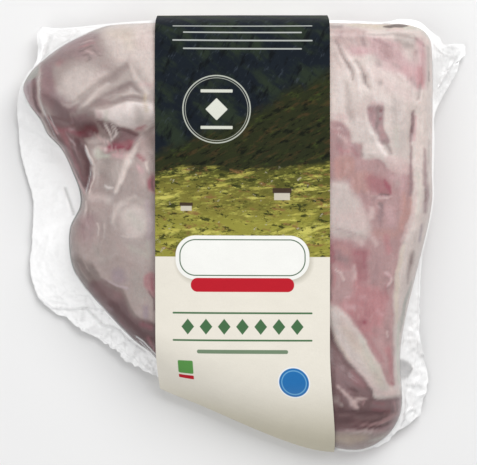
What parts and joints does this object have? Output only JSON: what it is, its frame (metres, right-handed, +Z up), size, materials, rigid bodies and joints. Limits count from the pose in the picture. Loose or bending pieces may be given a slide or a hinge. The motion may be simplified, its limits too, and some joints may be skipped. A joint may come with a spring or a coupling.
{
  "type": "vacuum-packed lamb ribs",
  "caption": "Slab of lamb ribs with loin, sealed in clear vacuum film with a flat flange, wrapped round the middle by a printed card sleeve; lies flat.",
  "frame": {"origin": "on the table, under the middle of the pack's box", "axes": "+X across the pack, towards the thick loin side; +Y along the sleeve, towards the pack's straight top edge; +Z up, out of the shown side"},
  "size_m": [0.307, 0.2961, 0.0498],
  "materials": {
    "packed_meat": "gloss",
    "clear_film": "gloss",
    "sleeve_card": "satin"
  },
  "bodies": {
    "root": {"vacuum_pack": "packed_meat", "sleeve": "sleeve_card"}
  },
  "joints": []
}
